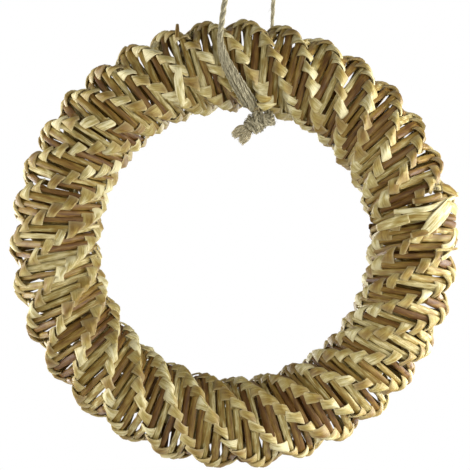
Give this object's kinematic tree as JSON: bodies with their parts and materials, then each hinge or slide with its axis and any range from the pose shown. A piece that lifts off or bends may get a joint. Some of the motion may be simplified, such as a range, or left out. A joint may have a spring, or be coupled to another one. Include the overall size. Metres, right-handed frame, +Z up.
{
  "type": "straw ornament",
  "caption": "Ring ornament of spirally plaited straw, hung on its own knotted twine loop.",
  "frame": {"origin": "under the top of the twine loop, where a peg or nail carries the ornament", "axes": "+Z up as it hangs, front of the ring towards -Y, ring in the XZ plane"},
  "size_m": [0.2705, 0.065, 0.3161],
  "materials": {
    "straw": "dry plaited straw, matt with a faint sheen on the stems",
    "twine": "hairy natural twine, frayed at its ends"
  },
  "bodies": {
    "root": {"straw_1_stem_1": "straw", "straw_1_stem_2": "straw", "straw_1_stem_3": "straw", "straw_1_stem_4": "straw", "straw_1_stem_5": "straw", "straw_1_stem_6": "straw", "straw_1_stem_7": "straw", "straw_1_stem_8": "straw", "straw_1_stem_9": "straw", "straw_2_stem_1": "straw", "straw_2_stem_2": "straw", "straw_2_stem_3": "straw", "straw_2_stem_4": "straw", "straw_2_stem_5": "straw", "straw_2_stem_6": "straw", "straw_2_stem_7": "straw", "straw_2_stem_8": "straw", "straw_2_stem_9": "straw", "straw_3_stem_1": "straw", "straw_3_stem_2": "straw", "straw_3_stem_3": "straw", "straw_3_stem_4": "straw", "straw_3_stem_5": "straw", "straw_3_stem_6": "straw", "straw_3_stem_7": "straw", "straw_3_stem_8": "straw", "straw_3_stem_9": "straw", "straw_4_stem_1": "straw", "straw_4_stem_2": "straw", "straw_4_stem_3": "straw", "straw_4_stem_4": "straw", "straw_4_stem_5": "straw", "straw_4_stem_6": "straw", "straw_4_stem_7": "straw", "straw_4_stem_8": "straw", "straw_4_stem_9": "straw", "straw_5_stem_1": "straw", "straw_5_stem_2": "straw", "straw_5_stem_3": "straw", "straw_5_stem_4": "straw", "straw_5_stem_5": "straw", "straw_5_stem_6": "straw", "straw_5_stem_7": "straw", "straw_5_stem_8": "straw", "straw_5_stem_9": "straw", "straw_6_stem_1": "straw", "straw_6_stem_2": "straw", "straw_6_stem_3": "straw", "straw_6_stem_4": "straw", "straw_6_stem_5": "straw", "straw_6_stem_6": "straw", "straw_6_stem_7": "straw", "straw_6_stem_8": "straw", "straw_6_stem_9": "straw", "hanging_twine": "twine", "twine_knot": "twine", "twine_tail": "twine"}
  },
  "joints": []
}
